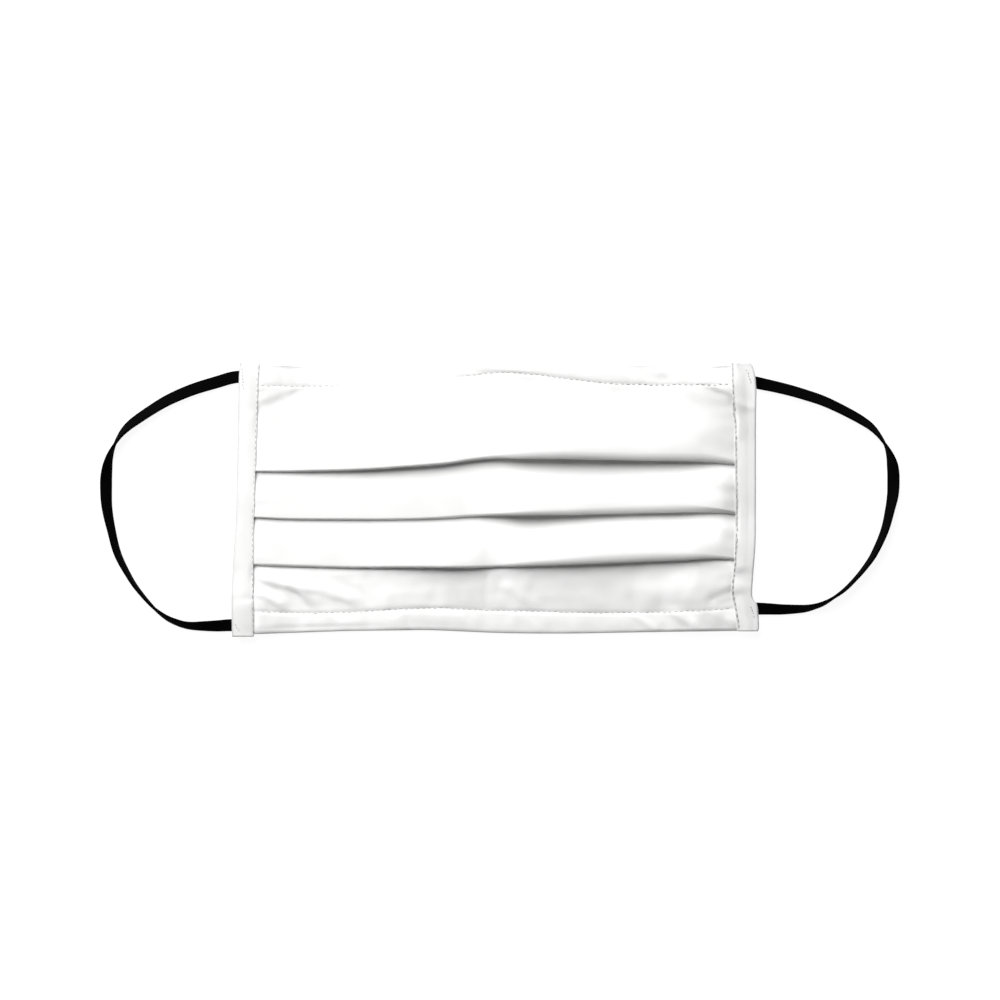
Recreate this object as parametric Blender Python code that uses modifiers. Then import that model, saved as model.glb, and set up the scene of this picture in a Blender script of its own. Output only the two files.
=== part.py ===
"""Pleated cloth face mask, lying flat on its back with its outer side up.

One cotton panel is hemmed along its top and bottom edge and laid in three knife pleats that face down.
A strip of the same cloth is folded round each side of it, and the two ends of a flat elastic ear loop are
sewn behind each strip. Metres, +Z up, +Y towards the top of the mask, left and right as seen from above.
The origin is on the surface that the mask lies on, under the middle of the cloth.
"""

import math
from collections import namedtuple

import bmesh
import bpy

# Cloth sizes
MASK_WIDTH = 0.1817  # over both side bindings, at mid height
PANEL_HEIGHT = 0.0933  # top hem to bottom hem, pleats closed
CLOTH = 0.001  # thickness of the sewn layers of cloth
LAYER_GAP = 0.0004  # air between two layers of a closed pleat
HEM_DEPTH = 0.008  # how far the top and bottom edges are turned under
PLEAT_DEPTH = 0.0085  # how far each pleat reaches back under itself
PLEAT_PUFF = 0.0024  # how far the most open pleat edge stands up
PUFF_ROLL = 0.25  # share of a pleat's puff that goes into the radius of its edge
PUFF_CROWN = 0.5  # how much earlier than evenly the cloth above an open pleat rises, in puffs
BINDING_WIDTH = 0.007  # side strip, from its fold to its sewn edge
BINDING_OVERHANG = 0.0006  # the strip is longer than the panel at each end
BINDING_FOLD = 0.0015  # how far the strip's outer fold reaches past the panel
BINDING_BRIDGE = 0.004  # the strip spans hollows shorter than twice this
SEAM_GAP = 0.0004  # air between the strip and the panel in it
TUCK_SLOPE = 0.006  # length over which the panel climbs onto the strip's back leg

# Elastic sizes
ELASTIC_WIDTH = 0.0043
ELASTIC_THICKNESS = 0.00105
ELASTIC_TUCK = 0.006  # how far each end reaches in under the strip
ELASTIC_GAP = 0.0006  # air between the elastic and the strip above it
ELASTIC_CLEAR = 0.0015  # the corner stays level for this far beside its elastic
CORNER_SLOPE = 0.009  # length over which a corner settles beside its elastic
LOOP_REACH = 0.047  # how far the middle line of an ear loop stands out from the mask's side

# How finely the folds are divided, and where their added rows lie
FOLD_STEPS = 4
RISE_STEPS = 4
PUFF_STEPS = 3
MIDDLE_STATIONS = 13
BINDING_STATIONS = 31
ELASTIC_STATIONS = 50
ELASTIC_BEVEL_STEPS = 2
HEM_ROW = 0.4  # in a hem's hidden layer, in hem depths from its fold
PLEAT_ROW = 0.6  # in a pleat's innermost layer, in pleat depths from its edge
SLOPE_ROWS = (0.7, 0.35)  # on the slope up to the strip's back leg, in its lengths from its foot
STACK_SAMPLES = 8  # along each stretch of the cloth that a strip's front leg lies on
BRIDGE_SAMPLES = (-0.5, -0.25, 0, 0.25, 0.5)  # of that leg's height, in bridge lengths

# Heights of the middle of the lowest, second and third layer of cloth
LAYER_STEP = CLOTH + LAYER_GAP
LAYER_LOW = CLOTH / 2
LAYER_MID = LAYER_LOW + LAYER_STEP
LAYER_HIGH = LAYER_MID + LAYER_STEP

# Across the panel, from the left side (-1) to the right side (1): how far the hem folds bow outwards, in
# hem depths; where each pleat edge lies above the bottom, in panel heights; how open each pleat is, in puffs
Section = namedtuple(
    "Section", "across top_bow bottom_bow edge_1 edge_2 edge_3 puff_1 puff_2 puff_3"
)
SECTIONS = (
    Section(-1.00, 0.04, 0.09, 0.604, 0.430, 0.257, 0.00, 0.00, 0.00),
    Section(-0.93, 0.00, 0.06, 0.604, 0.430, 0.256, 0.00, 0.00, 0.00),
    Section(-0.75, -0.06, 0.00, 0.606, 0.426, 0.248, 0.15, 0.05, 0.15),
    Section(-0.46, 0.02, -0.09, 0.615, 0.426, 0.246, 0.50, 0.05, 0.30),
    Section(-0.20, 0.06, -0.06, 0.636, 0.432, 0.249, 0.45, 0.10, 0.60),
    Section(0.00, 0.06, 0.02, 0.658, 0.443, 0.250, 0.20, 0.25, 0.30),
    Section(0.10, 0.06, 0.04, 0.660, 0.445, 0.253, 0.80, 0.90, 0.60),
    Section(0.30, 0.06, 0.04, 0.660, 0.448, 0.266, 1.00, 0.80, 1.00),
    Section(0.65, -0.04, -0.03, 0.657, 0.458, 0.285, 0.90, 0.70, 0.80),
    Section(0.80, -0.08, -0.04, 0.653, 0.461, 0.288, 0.50, 0.50, 0.60),
    Section(0.93, 0.00, -0.08, 0.631, 0.447, 0.260, 0.00, 0.00, 0.00),
    Section(1.00, 0.04, -0.09, 0.629, 0.445, 0.257, 0.00, 0.00, 0.00),
)

# Up the sides, from the bottom (0) to the top (1): how far the strip's fold and sewn edge lie outside
# their straight lines, in binding widths
Side = namedtuple("Side", "up left_fold left_seam right_fold right_seam")
SIDES = (
    Side(0.00, 0.15, 0.10, 0.20, 0.05),
    Side(0.08, 0.20, 0.12, 0.14, -0.05),
    Side(0.15, 0.20, 0.20, -0.14, -0.15),
    Side(0.22, 0.18, 0.18, -0.15, -0.14),
    Side(0.32, 0.10, 0.14, -0.02, 0.00),
    Side(0.45, 0.02, 0.10, 0.05, 0.10),
    Side(0.60, -0.05, 0.02, 0.05, 0.08),
    Side(0.80, -0.10, -0.05, 0.06, -0.08),
    Side(0.92, -0.15, -0.12, 0.06, -0.15),
    Side(1.00, -0.22, -0.20, -0.16, -0.17),
)

# The elastic's route, from its upper to its lower exit: distance from the mask's side, in reaches; height
# between the two exits; and the turn of the band about its own length, in degrees from lying flat
Route = namedtuple("Route", "out up turn")
LEFT_ROUTE = (
    Route(0.00, 1.000, 0),
    Route(0.15, 0.979, 5),
    Route(0.34, 0.948, 14),
    Route(0.52, 0.907, 26),
    Route(0.64, 0.870, 34),
    Route(0.765, 0.827, 45),
    Route(0.83, 0.801, 56),
    Route(0.888, 0.766, 70),
    Route(0.939, 0.719, 88),
    Route(0.974, 0.671, 114),
    Route(0.992, 0.623, 140),
    Route(1.00, 0.572, 160),
    Route(0.992, 0.478, 138),
    Route(0.956, 0.382, 120),
    Route(0.906, 0.285, 112),
    Route(0.811, 0.189, 99),
    Route(0.747, 0.140, 94),
    Route(0.643, 0.077, 90),
    Route(0.582, 0.049, 87),
    Route(0.520, 0.027, 80),
    Route(0.459, 0.0125, 72),
    Route(0.398, 0.002, 63),
    Route(0.336, -0.003, 53),
    Route(0.245, -0.004, 40),
    Route(0.15, -0.0035, 26),
    Route(0.05, -0.001, 8),
)
RIGHT_ROUTE = (
    Route(0.00, 1.000, 0),
    Route(0.05, 0.994, 9),
    Route(0.137, 0.9825, 20),
    Route(0.253, 0.965, 26),
    Route(0.369, 0.944, 30),
    Route(0.485, 0.920, 34),
    Route(0.601, 0.888, 39),
    Route(0.717, 0.851, 46),
    Route(0.775, 0.830, 50),
    Route(0.833, 0.805, 60),
    Route(0.886, 0.771, 72),
    Route(0.944, 0.718, 88),
    Route(0.979, 0.665, 122),
    Route(0.997, 0.612, 158),
    Route(1.00, 0.559, 168),
    Route(0.995, 0.506, 152),
    Route(0.978, 0.453, 132),
    Route(0.934, 0.347, 117),
    Route(0.856, 0.241, 106),
    Route(0.798, 0.188, 99),
    Route(0.726, 0.135, 93),
    Route(0.639, 0.082, 90),
    Route(0.543, 0.041, 87),
    Route(0.485, 0.022, 78),
    Route(0.427, 0.010, 69),
    Route(0.369, 0.002, 59),
    Route(0.311, -0.001, 50),
    Route(0.195, -0.003, 36),
    Route(0.10, -0.001, 22),
    Route(0.03, 0.000, 8),
)

# One ear loop for each side: its reach, in loop reaches, and the heights above the middle of the mask at
# which its upper and lower end leave the mask, in panel heights
Loop = namedtuple("Loop", "name side reach upper_exit lower_exit route")
LOOPS = (
    Loop("left_ear_loop", -1, 0.9638, 0.4598, -0.4695, LEFT_ROUTE),
    Loop("right_ear_loop", 1, 1.0277, 0.4391, -0.4084, RIGHT_ROUTE),
)
RoutePoint = namedtuple("RoutePoint", "along x y turn")

# Materials
COTTON_WHITE = (0.92, 0.92, 0.91, 1)
COTTON_ROUGHNESS = 0.9
ELASTIC_BLACK = (0.012, 0.012, 0.013, 1)
ELASTIC_ROUGHNESS = 0.75


def smooth(share):
    """0 to 1 with a level start and end, for a share that may lie outside 0 to 1."""
    share = min(1.0, max(0.0, share))
    return share * share * (3 - 2 * share)


def read(rows, key, column, at):
    """A table's column at a value of its key, on a smooth curve through the rows."""
    keys = [getattr(row, key) for row in rows]
    values = [getattr(row, column) for row in rows]
    if at <= keys[0]:
        return values[0]
    if at >= keys[-1]:
        return values[-1]
    i = max(k for k in range(len(keys) - 1) if keys[k] <= at)
    span = keys[i + 1] - keys[i]

    def slope(k):
        low, high = max(k - 1, 0), min(k + 1, len(keys) - 1)
        return (values[high] - values[low]) / (keys[high] - keys[low])

    t = (at - keys[i]) / span
    return (
        values[i] * (1 + 2 * t) * (1 - t) ** 2
        + slope(i) * span * t * (1 - t) ** 2
        + values[i + 1] * t * t * (3 - 2 * t)
        + slope(i + 1) * span * t * t * (t - 1)
    )


def side_line(side, edge, y):
    """x of the strip's fold or seam on one side, at a height on the mask."""
    up = y / PANEL_HEIGHT + 0.5
    inset = 0 if edge == "fold" else BINDING_WIDTH
    column = ("left_" if side < 0 else "right_") + edge
    return side * (MASK_WIDTH / 2 - inset + BINDING_WIDTH * read(SIDES, "up", column, up))


def corner_lift(x, y):
    """How far the cloth stands up over the elastic ends that lie under its corners."""
    side = -1 if x < 0 else 1
    inner_end = abs(side_line(side, "fold", y)) - ELASTIC_TUCK - ELASTIC_CLEAR
    near = smooth((abs(x) - inner_end + CORNER_SLOPE) / CORNER_SLOPE)
    loop = next(loop for loop in LOOPS if loop.side == side)
    exit_height = abs(loop.upper_exit if y > 0 else loop.lower_exit) * PANEL_HEIGHT
    away = exit_height - ELASTIC_WIDTH / 2 - ELASTIC_CLEAR - abs(y)
    return smooth(1 - away / CORNER_SLOPE) * near * (ELASTIC_THICKNESS + ELASTIC_GAP)


def back_leg_lift(x, y):
    """How far the panel climbs to lie on the back leg of the side strip."""
    side = -1 if x < 0 else 1
    foot = abs(side_line(side, "seam", y)) - CLOTH - TUCK_SLOPE
    return smooth((abs(x) - foot) / TUCK_SLOPE) * (CLOTH + SEAM_GAP)


def fold(tip, z_from, z_to, way):
    """Half round fold in the middle line of the cloth, whose tip reaches y = tip, bulging to +Y or -Y."""
    middle, half = (z_from + z_to) / 2, (z_to - z_from) / 2
    points = []
    for k in range(FOLD_STEPS + 1):
        angle = math.pi * k / FOLD_STEPS
        y = tip - way * abs(half) * (1 - math.sin(angle))
        points.append((y, middle - half * math.cos(angle)))
    return points


def rise(y_from, z_from, y_to, z_to, steps):
    """Points of an even S-shaped slope, without its first one."""
    return [
        (y_from + (y_to - y_from) * k / steps, z_from + (z_to - z_from) * smooth(k / steps))
        for k in range(1, steps + 1)
    ]


def pleat(y_from, z_from, edge, puff):
    """One knife pleat: the strip above it, its edge, and its two hidden layers."""
    inner = edge + PLEAT_DEPTH
    crest = LAYER_HIGH + puff
    radius = LAYER_STEP / 2 + puff * PUFF_ROLL
    tip = edge + CLOTH / 2
    shoulder, brink = inner + CLOTH, tip + radius
    points = rise(y_from, z_from, shoulder, LAYER_HIGH, RISE_STEPS)
    for k in range(1, PUFF_STEPS):
        s = k / PUFF_STEPS
        height = LAYER_HIGH + puff * s * (1 + PUFF_CROWN * (1 - s))
        points.append((shoulder + (brink - shoulder) * s, height))
    points += fold(tip, crest, crest - 2 * radius, -1)
    points += fold(inner - CLOTH / 2, LAYER_MID, LAYER_LOW, 1)
    points += [(edge + PLEAT_DEPTH * PLEAT_ROW, LAYER_LOW), (edge + CLOTH, LAYER_LOW)]
    return points


def hem_edges(across):
    """y of the panel's top and bottom edge at one place across it."""
    top = PANEL_HEIGHT / 2 + HEM_DEPTH * read(SECTIONS, "across", "top_bow", across)
    return top, -PANEL_HEIGHT / 2 - HEM_DEPTH * read(SECTIONS, "across", "bottom_bow", across)


def cloth_path(across):
    """Middle line of the cloth at one place across the panel, as (y, z) from hem to hem."""
    top, bottom = hem_edges(across)
    top, bottom = top - CLOTH / 2, bottom + CLOTH / 2
    path = [(top - HEM_DEPTH, LAYER_LOW), (top - HEM_DEPTH * HEM_ROW, LAYER_LOW)]
    path += fold(top, LAYER_LOW, LAYER_MID, 1)
    path.append((top - HEM_DEPTH, LAYER_MID))
    for number in ("1", "2", "3"):
        share = read(SECTIONS, "across", "edge_" + number, across)
        puff = max(0.0, read(SECTIONS, "across", "puff_" + number, across)) * PLEAT_PUFF
        path += pleat(*path[-1], (share - 0.5) * PANEL_HEIGHT, puff)
    path += rise(*path[-1], bottom + HEM_DEPTH + CLOTH, LAYER_MID, RISE_STEPS)
    path += fold(bottom, LAYER_MID, LAYER_LOW, -1)
    path += [(bottom + HEM_DEPTH * HEM_ROW, LAYER_LOW), (bottom + HEM_DEPTH, LAYER_LOW)]
    return path


def grid_object(name, columns, rows, place):
    """A square grid whose corner (column, row) is moved to place(column, row), as a new object."""
    mesh = bpy.data.meshes.new(name)
    grid = bmesh.new()
    bmesh.ops.create_grid(grid, x_segments=columns - 1, y_segments=rows - 1, size=0.5)
    for corner in grid.verts:
        column = round((corner.co.x + 0.5) * (columns - 1))
        row = round((corner.co.y + 0.5) * (rows - 1))
        corner.co = place(column, row)
    bmesh.ops.recalc_face_normals(grid, faces=grid.faces)
    grid.to_mesh(mesh)
    grid.free()
    return bpy.data.objects.new(name, mesh)


def finish_cloth(obj, material, collection):
    """Gives a cloth sheet its thickness, its material and its place in the collection."""
    wall = obj.modifiers.new("cloth", "SOLIDIFY")
    wall.thickness = CLOTH
    wall.offset = 0
    wall.use_even_offset = True
    obj.data.materials.append(material)
    obj.data.shade_smooth()
    collection.objects.link(obj)
    return obj


def side_marks(fold_x, seam_x):
    """Distances from the mask's middle to the panel's side edge, to where it lies level on the strip's
    back leg, and to the foot of the slope up to it."""
    return fold_x - BINDING_FOLD - CLOTH, seam_x - CLOTH, seam_x - CLOTH - TUCK_SLOPE


def panel_stations():
    """Places across the panel, closer together where it climbs into the side strips."""
    edge, level, foot = side_marks(MASK_WIDTH / 2, MASK_WIDTH / 2 - BINDING_WIDTH)
    slope = level - foot
    marks = [edge, (edge + level) / 2, level] + [foot + slope * s for s in SLOPE_ROWS] + [foot]
    sides = [mark / edge for mark in marks]
    count = MIDDLE_STATIONS + 1
    middle = [sides[-1] * (1 - 2 * k / count) for k in range(count - 1, 0, -1)]
    return [-s for s in sides] + middle + sides[::-1]


def panel_x(across, y):
    """x at a share of the way across the panel, which follows the side strip's fold and seam."""
    side = -1 if across < 0 else 1
    plain = side_marks(MASK_WIDTH / 2, MASK_WIDTH / 2 - BINDING_WIDTH)
    here = side_marks(abs(side_line(side, "fold", y)), abs(side_line(side, "seam", y)))
    distance = abs(across) * plain[0]
    if distance <= plain[2]:
        return side * distance * here[2] / plain[2]
    outer, inner = (0, 1) if distance > plain[1] else (1, 2)
    share = (distance - plain[inner]) / (plain[outer] - plain[inner])
    return side * (here[inner] + (here[outer] - here[inner]) * share)


def make_panel(material, collection):
    """The pleated and hemmed cloth."""
    stations = panel_stations()
    paths = [cloth_path(across) for across in stations]

    def place(column, row):
        y, z = paths[column][row]
        x = panel_x(stations[column], y)
        return x, y, z + back_leg_lift(x, y) + corner_lift(x, y)

    panel = grid_object("pleated_panel", len(stations), len(paths[0]), place)
    return finish_cloth(panel, material, collection)


def stack_height(side, y):
    """Middle height of the strip's front leg, which spans the closed pleats and hems under it."""
    path = cloth_path(side)
    heights = []
    for (y_a, z_a), (y_b, z_b) in zip(path, path[1:]):
        for k in range(STACK_SAMPLES + 1):
            s = k / STACK_SAMPLES
            heights.append((y_a + (y_b - y_a) * s, z_a + (z_b - z_a) * s))

    def spanned(at):
        return max(z for place, z in heights if abs(place - at) < BINDING_BRIDGE)

    offsets = [BINDING_BRIDGE * share for share in BRIDGE_SAMPLES]
    level = sum(spanned(y + offset) for offset in offsets) / len(offsets)
    return level + CLOTH + SEAM_GAP + CLOTH + SEAM_GAP


def make_binding(name, side, material, collection):
    """A strip of cloth folded round one side of the panel, open along its sewn edge."""
    top, bottom = hem_edges(side)
    high, low = top + BINDING_OVERHANG, bottom - BINDING_OVERHANG
    heights = [low + (high - low) * k / (BINDING_STATIONS - 1) for k in range(BINDING_STATIONS)]
    sections = []
    for y in heights:
        seam, outer = side_line(side, "seam", y), side_line(side, "fold", y)
        turn = outer - side * (CLOTH / 2 + BINDING_FOLD)
        half_way = (seam + turn) / 2
        back, front = CLOTH / 2, stack_height(side, y)
        section = [(seam, back), (half_way, back)]
        for k in range(FOLD_STEPS + 1):
            angle = math.pi * k / FOLD_STEPS
            x = turn + side * BINDING_FOLD * math.sin(angle)
            section.append((x, (back + front) / 2 - (front - back) / 2 * math.cos(angle)))
        sections.append(section + [(half_way, front), (seam, front)])

    def place(column, row):
        x, z = sections[row][column]
        y = heights[row]
        return x, y, z + corner_lift(x, y)

    strip = grid_object(name, len(sections[0]), len(heights), place)
    return finish_cloth(strip, material, collection)


def loop_route(loop):
    """The elastic's middle line in even steps, as (x, y, z, turn in radians)."""
    upper, lower = loop.upper_exit * PANEL_HEIGHT, loop.lower_exit * PANEL_HEIGHT
    rows = []
    for row in loop.route:
        x = loop.side * (MASK_WIDTH / 2 + loop.reach * LOOP_REACH * row.out)
        rows.append((x, lower + (upper - lower) * row.up, math.radians(row.turn)))
    ends = []
    for height in (upper, lower):
        x = side_line(loop.side, "fold", height) - loop.side * ELASTIC_TUCK
        ends.append((x, height, 0.0))
    rows = [ends[0]] + rows + [ends[1]]
    along = [0.0]
    for a, b in zip(rows, rows[1:]):
        along.append(along[-1] + math.hypot(b[0] - a[0], b[1] - a[1]))
    points = [RoutePoint(d, *row) for d, row in zip(along, rows)]
    route = []
    for k in range(ELASTIC_STATIONS):
        at = along[-1] * k / (ELASTIC_STATIONS - 1)
        x, y, turn = (read(points, "along", column, at) for column in ("x", "y", "turn"))
        upright = (ELASTIC_WIDTH - ELASTIC_THICKNESS) / 2 * abs(math.sin(turn))
        route.append((x, y, upright + ELASTIC_THICKNESS / 2, turn))
    return route


def make_ear_loop(loop, material, collection):
    """A flat elastic band that lies on the surface and turns on edge round its two bends."""
    curve = bpy.data.curves.new(loop.name, "CURVE")
    curve.dimensions = "3D"
    curve.twist_mode = "Z_UP"
    curve.extrude = (ELASTIC_WIDTH - ELASTIC_THICKNESS) / 2
    curve.bevel_depth = ELASTIC_THICKNESS / 2
    curve.bevel_resolution = ELASTIC_BEVEL_STEPS
    curve.use_fill_caps = True
    spline = curve.splines.new("POLY")
    route = loop_route(loop)
    spline.points.add(len(route) - 1)
    for point, (x, y, z, turn) in zip(spline.points, route):
        point.co = (x, y, z, 1)
        point.tilt = math.pi / 2 + loop.side * turn
    curve.materials.append(material)
    band = bpy.data.objects.new(loop.name, curve)
    collection.objects.link(band)
    return band


def make_material(name, colour, roughness):
    """A plain Principled material."""
    material = bpy.data.materials.new(name)
    material.use_nodes = True
    shader = material.node_tree.nodes["Principled BSDF"]
    shader.inputs["Base Color"].default_value = colour
    shader.inputs["Roughness"].default_value = roughness
    shader.inputs["Metallic"].default_value = 0
    return material


def main():
    for obj in list(bpy.data.objects):
        bpy.data.objects.remove(obj)
    collection = bpy.data.collections.new("cloth_face_mask")
    bpy.context.scene.collection.children.link(collection)
    cotton = make_material("white_cotton", COTTON_WHITE, COTTON_ROUGHNESS)
    elastic = make_material("black_elastic", ELASTIC_BLACK, ELASTIC_ROUGHNESS)
    make_panel(cotton, collection)
    make_binding("left_side_binding", -1, cotton, collection)
    make_binding("right_side_binding", 1, cotton, collection)
    for loop in LOOPS:
        make_ear_loop(loop, elastic, collection)


main()
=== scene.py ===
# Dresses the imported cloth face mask: white pleated cotton with sewn hems and side strips, and flat black
# elastic ear loops. It lies on a light table and is seen from straight above. All lengths are in metres.
import math

import bpy
import numpy as np
from mathutils import Matrix, Vector
from mathutils.bvhtree import BVHTree


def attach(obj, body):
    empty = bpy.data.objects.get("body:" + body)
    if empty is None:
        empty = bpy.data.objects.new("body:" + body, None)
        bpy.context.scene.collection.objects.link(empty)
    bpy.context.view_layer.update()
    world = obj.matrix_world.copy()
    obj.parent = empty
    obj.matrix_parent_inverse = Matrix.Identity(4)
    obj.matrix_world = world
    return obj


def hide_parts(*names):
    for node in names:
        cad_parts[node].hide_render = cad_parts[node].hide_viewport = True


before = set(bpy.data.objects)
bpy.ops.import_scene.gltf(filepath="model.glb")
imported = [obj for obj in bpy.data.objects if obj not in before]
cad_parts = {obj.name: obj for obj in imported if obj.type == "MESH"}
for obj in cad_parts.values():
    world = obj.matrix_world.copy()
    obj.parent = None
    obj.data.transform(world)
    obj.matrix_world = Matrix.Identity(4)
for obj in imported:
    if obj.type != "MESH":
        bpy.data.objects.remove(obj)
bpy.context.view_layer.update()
mm = 0.001
tableGap = 0.02 * mm  # what lies on the table or on other cloth clears it by this
print("frame loaded:", ", ".join(sorted(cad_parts)))


# small helpers for shapes

def smoothStep(share):
    share = np.clip(share, 0, 1)
    return share * share * (3 - 2 * share)


def bell(distance, width):
    return np.exp(-((distance / width) ** 2))


def curveThrough(points):
    # a smooth curve through (place, value) pairs, level beyond its ends
    places, values = (np.array(column, float) for column in zip(*points))
    ahead = np.minimum(np.arange(len(places)) + 1, len(places) - 1)
    behind = np.maximum(np.arange(len(places)) - 1, 0)
    slopes = (values[ahead] - values[behind]) / (places[ahead] - places[behind])

    def at(place):
        place = np.clip(place, places[0], places[-1])
        i = np.clip(np.searchsorted(places, place) - 1, 0, len(places) - 2)
        span = places[i + 1] - places[i]
        t = (place - places[i]) / span
        start = values[i] * (1 + 2 * t) * (1 - t) ** 2 + slopes[i] * span * t * (1 - t) ** 2
        end = values[i + 1] * t * t * (3 - 2 * t) + slopes[i + 1] * span * t * t * (t - 1)
        return start + end

    return at


def mmCurve(points):
    # the same in metres, from pairs in millimetres
    inMillimetres = curveThrough(points)
    return lambda place: inMillimetres(np.asarray(place) / mm) * mm


def ripple(x, y, longest, shortest, height, waves, seed):
    # soft unevenness: a sum of waves that run every way, longest to shortest wavelength
    dice = np.random.default_rng(seed)
    total = np.zeros(np.broadcast(x, y).shape)
    for length in np.geomspace(longest, shortest, waves):
        heading, phase = dice.uniform(0, math.tau, 2)
        along = x * math.cos(heading) + y * math.sin(heading)
        total += np.sin(math.tau * along / length + phase) * (length / longest) ** 0.5
    return total * height / math.sqrt(waves)


def creaseHeight(x, y, creases):
    # soft folds, in millimetres: widths left and right of its run, height, then the points it runs through
    total = np.zeros(np.broadcast(x, y).shape)
    for left, right, height, *points in creases:
        points = np.array(points) * mm
        runs = np.diff(points, axis=0)
        lengths = np.hypot(*runs.T)
        passed = np.concatenate([[0], np.cumsum(lengths)])
        nearest, place = np.full(total.shape, np.inf), np.zeros(total.shape)
        leftward = np.zeros(total.shape, bool)
        for start, run, length, before in zip(points, runs / lengths[:, None], lengths, passed):
            offX, offY = x - start[0], y - start[1]
            along = np.clip(offX * run[0] + offY * run[1], 0, length)
            distance = np.hypot(offX - along * run[0], offY - along * run[1])
            closer = distance < nearest
            nearest = np.where(closer, distance, nearest)
            place = np.where(closer, before + along, place)
            leftward = np.where(closer, run[0] * offY - run[1] * offX > 0, leftward)
        share = place / passed[-1]
        # each fold rises over a good quarter of its run and runs out the same way
        taper = smoothStep(share * 3.5 + 0.05) * smoothStep((1 - share) * 3.5 + 0.05)
        width = np.where(leftward, left, right) * mm
        total += height * mm * taper * bell(nearest, width)
    return total


def deselectAll():
    for obj in bpy.context.selected_objects:
        obj.select_set(False)


def clothSheet(name, points, flat, paintedShade):
    # a grid primitive whose corners take the places in points[row, column], with flat[row, column] as UV
    # and the last array's [row, column] as how strongly painted shade darkens the cloth there
    rows, columns = points.shape[:2]
    deselectAll()
    bpy.ops.mesh.primitive_grid_add(x_subdivisions=columns - 1, y_subdivisions=rows - 1, size=1)
    sheet = bpy.context.object
    sheet.name = sheet.data.name = name
    corners = np.empty(rows * columns * 3)
    sheet.data.vertices.foreach_get("co", corners)
    corners = corners.reshape(-1, 3)
    column = np.rint((corners[:, 0] + 0.5) * (columns - 1)).astype(int)
    row = np.rint((corners[:, 1] + 0.5) * (rows - 1)).astype(int)
    sheet.data.vertices.foreach_set("co", points[row, column].ravel())
    ends = np.empty(len(sheet.data.loops), int)
    sheet.data.loops.foreach_get("vertex_index", ends)
    sheet.data.uv_layers[0].data.foreach_set("uv", flat[row, column][ends].ravel())
    sheet.data.uv_layers[0].name = "cloth"
    shaded = sheet.data.attributes.new("paintedShade", "FLOAT", "POINT")
    shaded.data.foreach_set("value", paintedShade[row, column].ravel())
    sheet.data.update()
    return sheet


def thicken(sheet, thickness, group="", least=0):
    wall = sheet.modifiers.new("wall", "SOLIDIFY")
    wall.thickness = thickness
    wall.offset = 0
    wall.vertex_group = group
    wall.thickness_vertex_group = least
    wall.use_even_offset = True
    wall.use_quality_normals = True
    bpy.context.view_layer.objects.active = sheet
    bpy.ops.object.modifier_apply(modifier=wall.name)
    sheet.data.shade_smooth()


def surfaceTree(*objects):
    # what a ray from above meets first among these meshes
    points, faces = [], []
    for obj in objects:
        start = len(points)
        points += [corner.co.copy() for corner in obj.data.vertices]
        faces += [tuple(start + i for i in face.vertices) for face in obj.data.polygons]
    return BVHTree.FromPolygons(points, faces)


def dropOnto(tree, x, y, above=30 * mm):
    place, normal, _, _ = tree.ray_cast(Vector((x, y, above)), Vector((0, 0, -1)))
    return place, normal


# camera: straight above, the picture 350 mm wide at the table
cameraView = {"lens": 100, "sensor": 36, "width": 350 * mm, "middle": (1.58 * mm, -0.09 * mm)}


def placeCamera():
    distance = cameraView["width"] * cameraView["lens"] / cameraView["sensor"]
    bpy.ops.object.camera_add(location=(*cameraView["middle"], distance), rotation=(0, 0, 0))
    camera = bpy.context.object
    camera.name = "camera"
    camera.data.lens = cameraView["lens"]
    camera.data.sensor_width = cameraView["sensor"]
    camera.data.clip_start = 0.01
    camera.data.dof.use_dof = False
    bpy.context.scene.camera = camera


placeCamera()
print("camera placed")


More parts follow.
